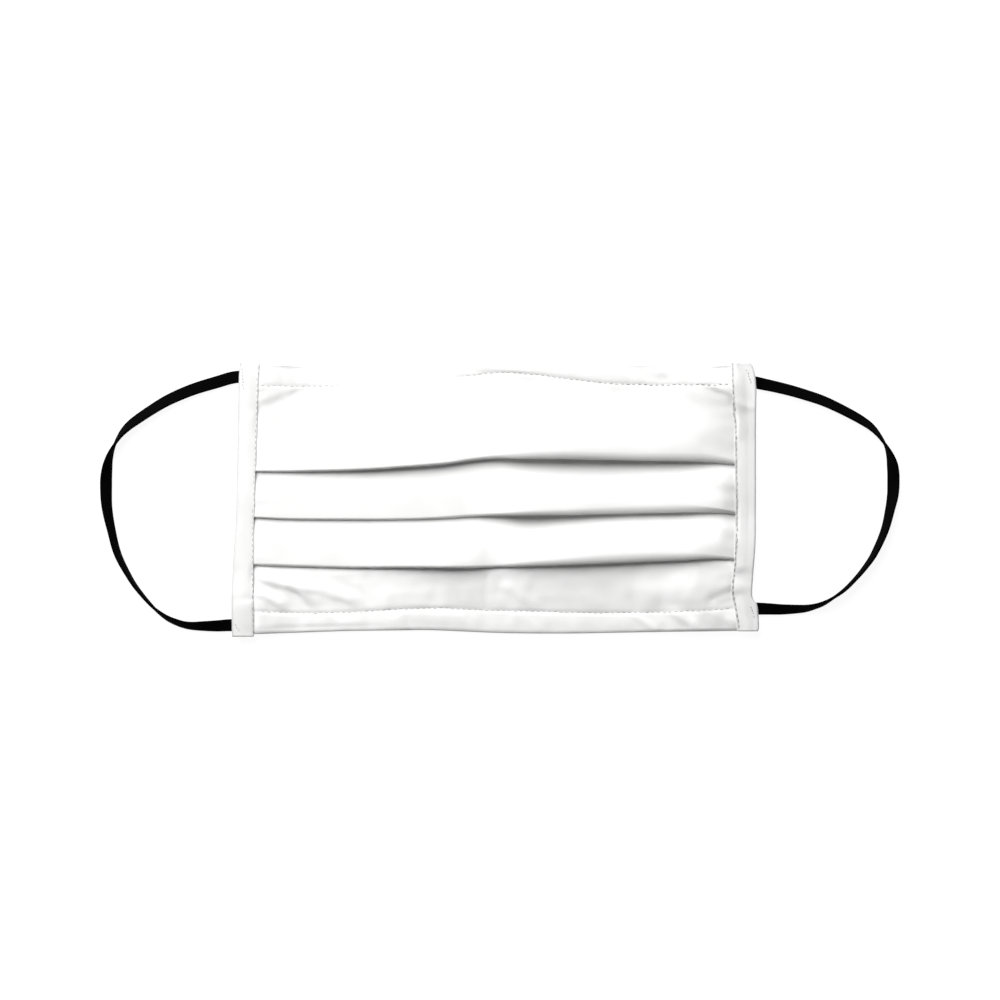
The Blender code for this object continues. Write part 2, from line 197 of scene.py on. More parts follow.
# ear loops: flat elastic that lies on the table and turns on edge round its bends
elasticBand = {
    "width": 4.3 * mm,
    "thickness": 1.05 * mm,
    "edgeRounding": 0.45 * mm,
    "edgeTurn": 75,  # degrees of each rounded edge, above and below its middle
    "facePoints": 29,
    "edgePoints": 5,
    "ribs": 7,
    "ribHeight": 0.05 * mm,
    "stations": 300,
    "closing": 0.2 * mm,  # width of the last face round the band, on its UV map
    "maskHalf": 90.85 * mm,  # side of the mask, from its middle
    "tuck": 6 * mm,  # each end reaches this far in under the side strip
    # routes: share of the reach, share of the height between the two exits, turn from lying flat in degrees
    "loops": {
        "left_ear_loop": {
            "side": -1, "reach": 45.3 * mm, "upper": 42.9 * mm, "lower": -43.8 * mm,
            "route": (
                (0, 1, 0), (0.15, 0.979, 5), (0.34, 0.948, 14), (0.52, 0.907, 26), (0.64, 0.87, 34),
                (0.765, 0.826, 40), (0.83, 0.799, 50), (0.886, 0.766, 68), (0.939, 0.719, 88),
                (0.974, 0.671, 114), (0.992, 0.623, 140), (1, 0.572, 160), (0.992, 0.478, 138),
                (0.956, 0.382, 120), (0.906, 0.285, 112), (0.811, 0.189, 99), (0.747, 0.14, 94),
                (0.643, 0.077, 86), (0.582, 0.049, 78), (0.52, 0.027, 70), (0.459, 0.0125, 64),
                (0.398, 0.002, 60), (0.336, -0.003, 53), (0.245, -0.004, 40), (0.15, -0.0035, 26),
                (0.05, -0.001, 8),
            ),
        },
        "right_ear_loop": {
            "side": 1, "reach": 48.3 * mm, "upper": 40.97 * mm, "lower": -38.1 * mm,
            "route": (
                (0, 1, 0), (0.05, 0.994, 9), (0.137, 0.9825, 20), (0.253, 0.965, 26),
                (0.369, 0.944, 30), (0.485, 0.92, 34), (0.601, 0.888, 39), (0.717, 0.851, 43),
                (0.775, 0.83, 47), (0.833, 0.805, 56), (0.886, 0.771, 70), (0.944, 0.718, 88),
                (0.979, 0.665, 122), (0.997, 0.612, 158), (1, 0.559, 168), (0.995, 0.506, 152),
                (0.978, 0.453, 132), (0.934, 0.347, 117), (0.856, 0.241, 106), (0.798, 0.188, 99),
                (0.726, 0.135, 93), (0.639, 0.082, 90), (0.543, 0.041, 82), (0.485, 0.022, 74),
                (0.427, 0.01, 69), (0.369, 0.002, 59), (0.311, -0.001, 50), (0.195, -0.003, 36),
                (0.1, -0.001, 22), (0.03, 0, 8),
            ),
        },
    },
}


def stripFold(side, y):
    # x of a side strip's outer fold
    return sideStrip["left" if side < 0 else "right"]["outer"](y)


def elasticRoute(loop):
    side, upper, lower = loop["side"], loop["upper"], loop["lower"]
    rows = []
    for out, up, turn in loop["route"]:
        x = side * (elasticBand["maskHalf"] + loop["reach"] * out)
        rows.append((x, lower + (upper - lower) * up, math.radians(turn)))
    start = (stripFold(side, upper) - side * elasticBand["tuck"], upper, 0)
    end = (stripFold(side, lower) - side * elasticBand["tuck"], lower, 0)
    rows = [start, *rows, end]
    along = [0]
    for a, b in zip(rows, rows[1:]):
        along.append(along[-1] + math.hypot(b[0] - a[0], b[1] - a[1]))
    steps = np.linspace(0, along[-1], elasticBand["stations"])
    x, y, turn = (curveThrough(list(zip(along, column)))(steps) for column in zip(*rows))
    return x, y, turn


def bandOutline():
    # the band's cross-section: flat and ribbed on both faces, with round edges
    halfWidth, halfThick = elasticBand["width"] / 2, elasticBand["thickness"] / 2
    rounding = elasticBand["edgeRounding"]
    flat = np.linspace(-1, 1, elasticBand["facePoints"])
    across = flat * (halfWidth - rounding)
    rib = elasticBand["ribHeight"] * (np.cos(math.pi * elasticBand["ribs"] * (flat + 1)) - 1) / 2
    face = list(zip(across, halfThick + rib))
    bend = []
    for angle in np.linspace(elasticBand["edgeTurn"], -elasticBand["edgeTurn"], elasticBand["edgePoints"]):
        reach = halfWidth - rounding + rounding * math.cos(math.radians(angle))
        bend.append((reach, halfThick * math.sin(math.radians(angle))))
    right = face + bend
    return right + [(-across, -height) for across, height in right]


def makeEarLoop(name):
    loop = elasticBand["loops"][name]
    x, y, turn = elasticRoute(loop)
    upright = (elasticBand["width"] - elasticBand["thickness"]) / 2 * np.abs(np.sin(turn))
    middle = np.stack([x, y, upright + elasticBand["thickness"] / 2 + tableGap], axis=1)
    ahead = np.gradient(middle, axis=0)
    ahead[:, 2] = 0
    ahead /= np.linalg.norm(ahead, axis=1)[:, None]
    sideways = np.stack([ahead[:, 1], -ahead[:, 0], np.zeros(len(ahead))], axis=1)
    lean = loop["side"] * turn
    up = np.array((0, 0, 1))
    across = sideways * np.cos(lean)[:, None] + up * np.sin(lean)[:, None]
    out = up * np.cos(lean)[:, None] - sideways * np.sin(lean)[:, None]
    outline = np.array(bandOutline())
    ring = len(outline)
    points = middle[:, None] + across[:, None] * outline[:, :1] + out[:, None] * outline[:, 1:]
    faces = [tuple(range(ring))[::-1], tuple((len(middle) - 1) * ring + k for k in range(ring))]
    for row in range(len(middle) - 1):
        for k in range(ring):
            a, b = row * ring + k, row * ring + (k + 1) % ring
            faces.append((a, b, b + ring, a + ring))
    mesh = bpy.data.meshes.new(name + "_band")
    mesh.from_pydata(points.reshape(-1, 3).tolist(), [], faces)
    length = np.concatenate([[0], np.cumsum(np.linalg.norm(np.diff(middle, axis=0), axis=1))])
    uvLayer = mesh.uv_layers.new(name="cloth")
    girth = np.concatenate([[0], np.cumsum(np.hypot(*np.diff(outline, axis=0).T))])
    for face in mesh.polygons:
        wraps = face.loop_total == 4 and face.vertices[1] % ring == 0
        for loopIndex, corner in zip(face.loop_indices, face.vertices):
            k = corner % ring
            v = girth[-1] + elasticBand["closing"] if wraps and k == 0 else girth[k]
            uvLayer.data[loopIndex].uv = (length[corner // ring], v)
    band = bpy.data.objects.new(name + "_band", mesh)
    bpy.context.scene.collection.objects.link(band)
    mesh.shade_smooth()
    deselectAll()
    bpy.context.view_layer.objects.active = band
    band.select_set(True)
    bpy.ops.object.mode_set(mode="EDIT")
    bpy.ops.mesh.select_all(action="SELECT")
    bpy.ops.mesh.normals_make_consistent(inside=False)
    bpy.ops.object.mode_set(mode="OBJECT")
    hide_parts(name)
    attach(band, "root")
    start = (stripFold(loop["side"], loop["upper"]), loop["upper"], elasticBand["thickness"] / 2)
    print(f"{name}: {length[-1] / mm:.1f} mm of elastic")
    return band


# side strips: folded cotton round the panel's sides; outlines are (y, x) in millimetres
sideStrip = {
    "cloth": 0.36 * mm,
    "rows": 190,
    "foldRadius": 0.42 * mm,
    "frontColumns": 22,
    "backColumns": 8,
    "foldColumns": 11,
    "panelInset": 1.6 * mm,  # the panel's raw side edge stops this far inside the fold
    # how far in from the panel's own side and ends its height is felt
    "feelSide": 0.3 * mm,
    "feelEnds": 1.2 * mm,
    # rows over which the panel's highest places count, and over which they are evened out: tight at the
    # seam, loose at the fold, and what the strip never sinks below
    "rests": ((4, 6), (14, 16), (6, 5)),
    "gripFrom": 0.72,  # share of the width where the seam begins to hold it down
    "restGap": 0.03 * mm,
    "seamInset": {"left": 0.25 * mm, "right": 0.5 * mm},  # stitches, from the strip's inner edge
    "seamPress": 0.04 * mm,
    "seamSpread": 0.4 * mm,
    "blend": 0.24 * mm,  # how softly it comes to rest on the panel
    "lean": 0.5 * mm,  # how much lower the strip lies at its fold than at its seam
    "edgeThickness": 0.15,  # of the cloth, at the sewn edge, where it is pressed flat
    "edgeTaper": 4 * mm,
    "loft": 0.6 * mm,  # the deepest that a fold in the strip goes
    # ripples: longest and shortest wave, height and number of waves, then the seed
    "unevenness": {"left": (14 * mm, 4 * mm, 0.07 * mm, 9, 11), "right": (14 * mm, 4 * mm, 0.07 * mm, 9, 13)},
    "brokenRim": (9 * mm, 2.5 * mm, 0.5, 8, 31),
    # how strongly painted shade darkens its fold, its seam and its top end, and how far that reaches
    "foldRims": {"left": 0.8, "right": 0, "width": 0.4 * mm},
    "seamRims": {"left": 0, "right": 0.8, "width": 0.35 * mm},
    "endRims": {"left": 0.7, "right": 0.8, "width": 0.35 * mm},
    # painted shade over the whole strip: darker along the right strip's middle and at the left strip's bottom
    "stripShade": {
        "left": mmCurve(((-47, 0.16), (-37, 0.15), (-31, 0.04), (-10, 0), (47, 0))),
        "right": mmCurve(((-46, 0.04), (-34, 0.05), (-20, 0.1), (0, 0.12), (12, 0.09), (22, 0.03), (33, 0),
                          (47, 0))),
    },
    "left": {
        "outer": mmCurve(((-47.8, -91.6), (-47, -91.8), (-42.1, -91.9), (-31.6, -91.9), (-21.1, -91.4),
                          (-7.1, -90.5), (10.4, -90.1), (27.9, -89.7), (42.6, -89.4), (47.5, -89))),
        "inner": mmCurve(((-47.3, -84.4), (-42.1, -84.3), (-31.6, -84.6), (-21.1, -84.5), (-7.1, -84.4),
                          (-0.1, -84.1), (10.4, -83.8), (29.7, -83.1), (40.2, -82.8), (47.5, -82.3))),
        "ends": (-47.75 * mm, 47.5 * mm),
    },
    "right": {
        "outer": mmCurve(((-45.7, 91.5), (-44.6, 91.8), (-40.3, 91.6), (-36.5, 91.1), (-34.9, 89.9),
                          (-33.3, 89.4), (-28.1, 89.6), (-19.3, 90.3), (-14.1, 90.6), (-0.1, 90.8),
                          (31.4, 90.8), (38.4, 90.9), (43.7, 90.4), (46.8, 89.5), (47.5, 89.1))),
        "inner": mmCurve(((-44.9, 84.3), (-38.6, 83.4), (-35.1, 82.7), (-31.6, 82.2), (-28, 82.5),
                          (-24.6, 82.9), (-17.6, 83.3), (-10.6, 83.6), (-3.6, 83.7), (6.9, 83.6),
                          (17.4, 83.5), (26.2, 83.3), (31.4, 82.7), (40.2, 82.3), (47.5, 82.2))),
        "ends": (-45.85 * mm, 47.5 * mm),
    },
    # small folds across the strips
    "creases": (
        (1.3, 1.1, -0.22, (-94, 37), (-88, 38.4), (-82, 38), (-78, 39)),
        (2, 1.6, -0.16, (-93, 31), (-87, 32.4), (-82, 31), (-78, 30.4)),
        (1.4, 2, -0.34, (-97, -34.8), (-90, -34.6), (-84, -34.8), (-78, -35.4)),
        (2, 9.5, 0.5, (-100, -36.6), (-90, -36.4), (-84, -36.6), (-74, -37.2)),
        (1.6, 2.2, -0.14, (-97, -30), (-90, -30.4), (-84, -30.6), (-78, -31)),
        (2.4, 1.9, 0.48, (79, 35.4), (84.5, 33.8), (88, 32.5), (94, 31)),
        (2, 2, -0.3, (79, 37.2), (86, 36.2), (92, 36), (96, 36)),
        (2.4, 2.2, 0.4, (74, -23), (83, -23.1), (90, -23.3), (99, -23.5)),
        (1.3, 1.8, -0.3, (74, -26.4), (83, -26.4), (90, -26.7), (99, -26.8)),
        (2.4, 2, 0.34, (74, -30.8), (83, -30.7), (90, -30.9), (99, -31.2)),
        (1.1, 1.8, -0.3, (74, -33.9), (83, -33.8), (90, -34), (99, -34.3)),
        (2.4, 2.4, -0.12, (76, 1), (84, -0.5), (91, -3), (98, -5)),
        (2.6, 2.2, -0.1, (76, 20.5), (84, 19), (91, 16), (98, 14)),
        (1.6, 1.6, -0.16, (78, -39.4), (85, -40.4), (91, -42.5), (97, -44)),
        (0.5, 0.5, -0.1, (87.6, 40), (88.3, 26), (88.6, 8), (88.2, -12), (87.4, -24)),
    ),
}


# panel: one cotton cloth from hem to hem, laid in three pleats; curves are (x, value) in millimetres
pleatX = (-88, -83.8, -75.4, -67, -50.2, -41.8, -33.4, -25, -16.6, -8.2, 0.2, 8.6, 25.4, 33.8, 42.2,
          50.6, 67.4, 75.8, 84.2, 88)
panelCloth = {
    "cloth": 0.55 * mm,
    "layerStep": 0.62 * mm,
    "columns": 205,
    # rows across each stretch of the cloth
    "rows": {"hem": 12, "hemFold": 6, "top": 44, "strip": 24, "edge": 12, "inner": 4, "last": 27},
    "sideBunch": 0.25,  # columns lie closer together by this share at the sides
    "rowBunch": 0.7,  # and rows by this share at seams and pleat edges
    "hemDepth": 8 * mm,
    "pleatDepth": 8.5 * mm,
    "puff": 3.4 * mm,  # how far the most open pleat stands up
    "roll": 0.95 * mm,  # added radius of the roundest pleat edge
    "rollLength": 1.7 * mm,  # how much longer that edge is on top than a round one
    "shoulder": 0.8 * mm,  # how far above a pleat's inner fold the cloth has reached its full height
    "puffFrom": 0.12,  # share of a strip's width, from its top, that an open pleat leaves flat
    "climb": (14 * mm, 34 * mm),  # lengths over which its left and right side climb onto the strips' back legs
    "climbPast": 0.5 * mm,
    "climbRoom": 0.1 * mm,
    "loft": 0.3 * mm,  # air under the free cloth, so that hollows don't press into the layers below
    "hemBulge": 0.16 * mm,
    # how far in under each pleat the next cloth begins to rise, and how much further where it stands open
    "tuck": 1.2 * mm,
    "openTuck": (0, 0, 3.2 * mm),
    # how far the cloth below the last pleat stands up
    "lastBulge": mmCurve(((-88, 0.5), (-67, 0.55), (-50, 0.62), (-41, 0.8), (-32, 1), (-24, 1.25), (-16, 1.6),
                          (0, 1.5), (10, 1.85), (30, 2.15), (50, 2.15), (67, 2.3), (76, 2.4), (84, 2.2),
                          (88, 2.1))),
    # lengths over which each side's corners rise over the elastic's ends: across, then up at bottom and top
    "cornerAcross": (16 * mm, 30 * mm),
    "cornerUp": ((16 * mm, 16 * mm), (38 * mm, 16 * mm)),
    "cornerClear": 1.5 * mm,
    "elasticRoom": 1.25 * mm,
    "seamPress": 0.22 * mm,
    "seamSpread": 0.6 * mm,
    # how strongly each hem's seam draws in the cloth, and how much painted shade darkens the top fold
    "bottomGrip": mmCurve(((-85, 1), (-55, 0.9), (-40, 0.6), (-25, 0.8), (45, 0.9), (58, 0.45), (84, 0.4))),
    "topGrip": mmCurve(((-85, 0.5), (-62, 0.35), (-50, 0.08), (-15, 0.08), (-5, 0.6), (40, 0.9), (84, 1))),
    "topRim": mmCurve(((-88, 0.95), (-60, 0.85), (-50, 0.2), (-40, 0), (28, 0), (38, 0.6), (60, 0.95), (84, 1))),
    "sidePress": 0.4,  # of the hems' press, along the side strips
    "topEdge": mmCurve(((-90, 47), (-82.4, 47.1), (-68.4, 46.5), (-57.9, 46.7), (-33.4, 47.1),
                        (1.6, 47.3), (36.6, 47.2), (50.6, 46.8), (68.1, 46.1), (82.1, 46.7), (90, 47))),
    "bottomEdge": mmCurve(((-90, -47.2), (-84.9, -47), (-68.4, -46.5), (-50.9, -45.9), (-33.4, -45.7),
                           (-22.9, -45.6), (1.6, -46.6), (22.6, -46.8), (43.6, -46.5), (64.6, -46.1),
                           (83.8, -45.8), (90, -45.6))),
    "topSeam": mmCurve(((-90, 39.8), (-57.9, 39.8), (-33.4, 41.4), (-8.9, 43.3), (0, 44.5), (13.8, 43.7),
                        (22.6, 42.6), (31.3, 41.6), (36.6, 40.9), (54.1, 40.2), (90, 40.2))),
    "bottomSeam": mmCurve(((-90, -38.9), (-84.5, -38.9), (-68.4, -39.6), (-50.9, -39.3), (-33.4, -38.3),
                           (-19.4, -37.9), (-5.4, -38.6), (8.6, -38.9), (22.6, -39.3), (36.6, -39.6),
                           (54.1, -39.3), (71.6, -38.6), (83.8, -37.9), (90, -37.9))),
    "pleatEdges": (
        (9.7, 9.7, 9.7, 9.8, 10.2, 10.6, 11.2, 11.8, 12.5, 13.7, 14.4, 14.3, 14.2, 14, 13.8, 13.6, 13.4,
         13, 12.2, 12.1),
        (-6.4, -6.4, -6.8, -7, -7.1, -7.1, -7, -6.8, -6.4, -5.9, -5.5, -5.4, -5.3, -5.1, -4.9, -4.7,
         -4.4, -4.5, -5, -5),
        (-22.8, -22.9, -23.2, -23.5, -23.9, -23.9, -23.8, -23.8, -23.8, -23.8, -23.6, -23.3, -22.7, -22.4,
         -22.1, -21.7, -21, -20.6, -21, -21.2),
    ),
    "pleatOpen": (
        (0, 0.02, 0.1, 0.24, 0.42, 0.52, 0.57, 0.6, 0.58, 0.54, 0.66, 1.14, 1.36, 1.3, 1.2, 1.12, 0.92,
         0.58, 0.1, 0),
        (0, 0.02, 0.04, 0.05, 0.05, 0.05, 0.05, 0.07, 0.1, 0.14, 0.54, 1.14, 0.94, 0.8, 0.76, 0.76, 0.76,
         0.56, 0.14, 0),
        (0, 0.02, 0.05, 0.06, 0.12, 0.26, 0.46, 0.7, 0.92, 0.78, 0.46, 0.8, 1.18, 1.24, 1.24, 1.26, 1.18,
         0.84, 0.36, 0.26),
    ),
    "pleatRound": (
        (0, 0, 0.02, 0.04, 0.05, 0.05, 0.05, 0.05, 0.06, 0.1, 0.22, 0.58, 0.78, 0.8, 0.8, 0.82, 0.88,
         0.8, 0.3, 0),
        (0, 0, 0.02, 0.04, 0.05, 0.05, 0.05, 0.05, 0.08, 0.12, 0.12, 0.26, 0.48, 0.6, 0.68, 0.72, 0.7,
         0.46, 0.1, 0),
        (0, 0.1, 0.12, 0.12, 0.1, 0.08, 0.08, 0.1, 0.1, 0.12, 0.15, 0.32, 0.62, 0.8, 0.88, 0.88, 0.66,
         0.34, 0.15, 0.1),
    ),
    # soft folds in the cloth
    "creases": (
        (3, 1.2, 0.78, (-86.5, -25.6), (-80, -28.1), (-76.4, -29.1), (-71.5, -30), (-68.7, -31.6),
         (-66.6, -33.3), (-64.4, -35.8), (-62.4, -38.4)),
        (3.2, 1.4, 0.46, (-75, -28.8), (-67.4, -30.8), (-61, -31.5), (-56.9, -33), (-53.1, -33.9),
         (-49.9, -35.5), (-46, -38.5)),
        (2.4, 1.2, 0.55, (-90, -32.2), (-84.5, -32.6), (-80.5, -33.3), (-77.8, -34.9), (-75.4, -36.6),
         (-72, -39.4)),
        (2, 1.4, -0.22, (-57, -27), (-52, -31), (-44, -34.5)),
        (2.2, 2.2, -0.22, (-46, -25), (-43.5, -31), (-44.5, -37.5)),
        (2.4, 2, -0.18, (-22, -26), (-20.5, -31), (-23, -38)),
        (1.3, 1.1, -0.34, (-3.8, -23), (-3.2, -30), (-3.6, -36), (-3, -41.5)),
        (2.2, 1.6, 0.3, (1, -28.5), (8, -33), (15.6, -38.8)),
        (3, 2.4, 0.2, (26, -26.5), (32, -33), (38, -39)),
        (2.6, 2.6, -0.08, (57, -24.5), (60, -31), (58.5, -37)),
        (2.2, 2.6, 0.14, (66.5, -22.5), (70, -26.5), (72.5, -31)),
        (12, 5, 0.48, (48, -33.4), (58, -32.5), (66, -32), (76, -32)),
        (5, 2.5, 0.22, (-46, -36.6), (-34, -35.6), (-24, -36), (-12, -36.8)),
        (1.2, 4, 0.22, (-38, -40), (-28, -40), (-18, -40.4), (-8, -41)),
        (9, 18, 1.1, (69, -22), (69.5, -28), (70, -36), (72, -58)),
        (2, 1.6, 0.14, (73, -34), (78, -31.6), (84.5, -29.6)),
        (1.6, 1.6, -0.3, (86, -30.6), (82, -32.2), (78, -33.6), (72.5, -35.6)),
        (1.2, 1.2, -0.2, (76.5, -37.8), (79.5, -35.6), (84.5, -34.5)),
        (1, 3, 0.5, (-34.4, -38.4), (-33, -41.5), (-30.6, -46.8)),
        (1.8, 1.5, 0.18, (-60, -39), (-55.5, -42), (-51, -46.5)),
        (1.6, 1.1, 0.46, (47, -39), (52, -42.8), (57.5, -47)),
        (2.2, 1.3, 0.5, (58, -37.6), (65, -41.2), (71, -45.2), (76.5, -48)),
        (2.4, 1.3, 0.2, (70, -37), (76, -39.6), (82, -42), (88, -46)),
        (5, 5, 0.36, (58, -39.2), (68, -38.8), (80, -38.2), (98, -37.8)),
        (1.6, 1.4, 0.16, (8, -39), (11.5, -42.5), (15.5, -47)),
        (0.7, 0.7, -0.2, (-88, -45.2), (-74, -44.8), (-55, -44.4), (-36, -44.2)),
        (5, 5, 0.6, (92, 41), (80, 39.6), (70, 37.6), (58, 35)),
        (4.5, 9, 1.1, (77.5, 16), (78.5, 8), (78.5, -4), (77.5, -20)),
        (3, 1.4, 0.8, (69, 42.2), (75.5, 40.2), (80.5, 38.1), (87, 35)),
        (4.5, 4, 0.36, (56, 40), (67, 39), (78, 36.2), (88, 33)),
        (2.4, 2.4, 0.36, (54, 46.3), (61, 45.2), (68, 43.4)),
        (1.8, 1.4, -0.22, (45, 46.5), (50.5, 44), (57, 42), (63, 41.4)),
        (1.5, 1.8, -0.46, (-88, 29.6), (-82, 31.8), (-76, 34.2), (-69, 37), (-62, 39.4)),
        (1, 1.2, -0.26, (-88, 36), (-84, 36.6), (-79.5, 38)),
        (1.4, 1.2, -0.3, (-12, 46.4), (-7, 44.9), (-2, 44), (2, 43.6)),
        (1.6, 1.4, 0.16, (4, 46.8), (9, 45), (14, 42.4)),
        (1.4, 1.4, -0.12, (-1, 42), (-0.5, 28), (-0.5, 14)),
        (1.3, 1.3, -0.1, (-0.5, 12.5), (-1.5, 4), (-1.5, -5)),
        (1.3, 1.3, -0.1, (-1.5, -7.5), (-2, -14), (-2.5, -22)),
        (2.6, 2.2, -0.26, (70, 20), (79, 18.5), (88, 16)),
        (2.4, 2, -0.22, (70, 4), (79, 3), (88, 0)),
        (2.4, 2, -0.24, (70, -12), (79, -12.5), (88, -15)),
    ),
    # ripples: longest and shortest wave, height and number of waves, then the seed
    "unevenness": (45 * mm, 9 * mm, 0.05 * mm, 12, 3),
    "mottle": (16 * mm, 4.5 * mm, 0.085 * mm, 14, 21),
    "mottleBelow": (-24 * mm, 3 * mm),  # where the mottle begins, and over how much it grows
    "puckers": (9 * mm, 3.5 * mm, 0.1 * mm, 9, 5),
    "puckerReach": 5 * mm,
    "sidePuckers": (9 * mm, 4 * mm, 0.1 * mm, 8, 8),
    "sidePuckerReach": 6 * mm,
    "brokenRim": (30 * mm, 6 * mm, 0.3, 8, 4),
    # painted shade along the top fold (its width), and along the bottom fold (its strength and width)
    "topRimWidth": 0.35 * mm,
    "bottomRim": 0.15,
    "bottomRimWidth": 0.4 * mm,
}


def halfTurn(tipY, zFrom, zTo, way, steps, entry=None):
    # rows of a round fold whose tip reaches tipY and points up (1) or down (-1) the mask;
    # entry is the length of its first quarter, where that isn't round
    middle, half = (zFrom + zTo) / 2, (zTo - zFrom) / 2
    rows = []
    for angle in np.linspace(0, math.pi, steps + 1):
        length = entry if entry is not None and angle < math.pi / 2 else np.abs(half)
        rows.append((tipY - way * length * (1 - math.sin(angle)), middle - half * math.cos(angle)))
    return rows


def bunched(count):
    # shares from 0 to 1 that lie closer together at both ends
    even = np.linspace(0, 1, count + 1)
    return even - panelCloth["rowBunch"] * np.sin(math.tau * even) / math.tau


def hemFolds(x):
    # middle of the cloth where it folds to the back, at the top and at the bottom
    half = panelCloth["cloth"] / 2
    return panelCloth["topEdge"](x) - half, panelCloth["bottomEdge"](x) + half


def panelRows(x):
    # the cloth's middle line from the top hem's raw edge to the bottom hem's, as (y, z, freedom) rows
    shape, counts = panelCloth, panelCloth["rows"]
    step, hem = shape["layerStep"], shape["hemDepth"]
    low = shape["cloth"] / 2 + tableGap
    mid, high = low + step, low + 2 * step
    top, bottom = hemFolds(x)
    rows = [(top - hem + (hem - step) * s, low + 0 * x, 0) for s in (0, 0.3, 0.65)]
    turn = halfTurn(top, low + 0 * x, mid + 0 * x, 1, counts["hemFold"])
    rows += [(y, z, k / 8) for k, (y, z) in enumerate(turn)]
    seam = shape["topSeam"](x)
    start = turn[-1][0]
    for s in 1 - np.linspace(1, 0, counts["hem"])[1:] ** 1.4:
        bulge = shape["hemBulge"] * math.sin(math.pi * s) * shape["topGrip"](x) / mm
        rows.append((start + (seam - start) * s, mid + bulge + 0 * x, 1))
    fromY, firstLevel, count = seam, mid, counts["top"]
    pleats = zip(shape["pleatEdges"], shape["pleatOpen"], shape["pleatRound"], shape["openTuck"])
    for edges, openings, rounds, openTuck in pleats:
        edge = mmCurve(tuple(zip(pleatX, edges)))(x) + shape["cloth"] / 2
        opening = np.clip(curveThrough(tuple(zip(pleatX, openings)))(x / mm), 0, None)
        roundness = np.clip(curveThrough(tuple(zip(pleatX, rounds)))(x / mm), 0, None)
        puff = opening * shape["puff"]
        radius = np.minimum(step / 2 + roundness * shape["roll"], (high + puff - mid) / 2)
        inner = edge + shape["pleatDepth"]
        rollLength = radius + roundness * shape["rollLength"]
        brink, shoulder = edge + rollLength, inner + shape["shoulder"]
        for s in bunched(count)[1:-1]:
            y = fromY + (brink - fromY) * s
            base = firstLevel + (high - firstLevel) * smoothStep((fromY - y) / (fromY - shoulder))
            bulge = puff * smoothStep((s - shape["puffFrom"]) / (1 - shape["puffFrom"])) ** 0.85
            rows.append((y, base + bulge, 1))
        crest = high + puff
        back = inner - step / 2
        turn = halfTurn(edge, crest, crest - 2 * radius, -1, counts["edge"], rollLength)
        rows += [(y, z, max(0, 1 - k / 6)) for k, (y, z) in enumerate(turn)]
        for s in (0.25, 0.5, 0.75):
            z = (crest - 2 * radius) * (1 - smoothStep(s)) + mid * smoothStep(s)
            rows.append((turn[-1][0] + (back - turn[-1][0]) * s, z, 0))
        rows += [(y, z, 0) for y, z in halfTurn(inner, mid + 0 * x, low + 0 * x, 1, counts["inner"])]
        fromY = edge + shape["tuck"] + openTuck * np.minimum(opening, 1)
        firstLevel, count = low, counts["strip"]
        rows += [(back + (fromY - back) * s, low + 0 * x, 0) for s in (0.35, 0.7, 1)]
    seam = shape["bottomSeam"](x)
    for s in 1 - np.linspace(1, 0, counts["last"])[1:] ** 1.3:
        bulge = shape["lastBulge"](x) * smoothStep(s / 0.25) * (1 - s)
        z = low + step * smoothStep(s * 1.1) + bulge
        rows.append((fromY + (seam - fromY) * s, z, min(1, s * 4)))
    turn = halfTurn(bottom, mid + 0 * x, low + 0 * x, -1, counts["hemFold"])
    end = turn[0][0]
    for s in np.linspace(0, 1, counts["hem"])[1:-1] ** 1.4:
        bulge = shape["hemBulge"] * math.sin(math.pi * s)
        rows.append((seam + (end - seam) * s, mid + bulge + 0 * x, 1))
    rows += [(y, z, 1 - k / 6) for k, (y, z) in enumerate(turn)]
    rows += [(bottom + step + (hem - step) * s, low + 0 * x, 0) for s in (0.35, 0.7, 1)]
    return rows


def sideLines(x, y):
    # distances of the strip's fold and inner edge from the middle, on the side where x lies
    left = x < 0
    outer = np.where(left, -sideStrip["left"]["outer"](y), sideStrip["right"]["outer"](y))
    inner = np.where(left, -sideStrip["left"]["inner"](y), sideStrip["right"]["inner"](y))
    return outer, inner


def cornerLift(x, y):
    # the cloth stands up over the elastic's ends
    shape = panelCloth
    outer, _ = sideLines(x, y)
    tuckEnd = outer - elasticBand["tuck"] - shape["cornerClear"]
    across = np.where(x < 0, *shape["cornerAcross"])
    up = np.where(x < 0, *(np.where(y < 0, *ends) for ends in shape["cornerUp"]))
    near = smoothStep((np.abs(x) - tuckEnd + across) / across)
    exits = [np.where(y < 0, -loop["lower"], loop["upper"]) for loop in elasticBand["loops"].values()]
    exitHeight = np.where(x < 0, *exits)
    away = exitHeight - elasticBand["width"] / 2 - shape["cornerClear"] - np.abs(y)
    return smoothStep(1 - away / up) * near * shape["elasticRoom"]


def panelSoftness(x, y, inner):
    # creases, puckers and unevenness, less what the seams draw in; hollows are kept from the layers below
    shape = panelCloth
    spread, loft = shape["seamSpread"], shape["loft"]
    fromTop, fromBottom = y - shape["topSeam"](x), y - shape["bottomSeam"](x)
    fromSide = np.abs(x) - inner
    press = shape["topGrip"](x) / mm * bell(fromTop, spread)
    press += shape["bottomGrip"](x) / mm * bell(fromBottom, spread)
    press += shape["sidePress"] * bell(fromSide, spread)
    nearSeam = bell(fromTop, shape["puckerReach"]) + bell(fromBottom, shape["puckerReach"])
    puckers = ripple(x + y * 0.35, y * 0.12, *shape["puckers"]) * nearSeam
    puckers += ripple(x * 0.12, y, *shape["sidePuckers"]) * bell(fromSide, shape["sidePuckerReach"])
    mottleTop, mottleGrowth = shape["mottleBelow"]
    soft = creaseHeight(x, y, shape["creases"])
    soft += ripple(x, y, *shape["unevenness"])
    soft += ripple(x, y, *shape["mottle"]) * smoothStep((mottleTop - y) / mottleGrowth)
    soft += puckers - press * shape["seamPress"]
    return np.where(soft < 0, loft * np.tanh(soft / loft), soft) + loft


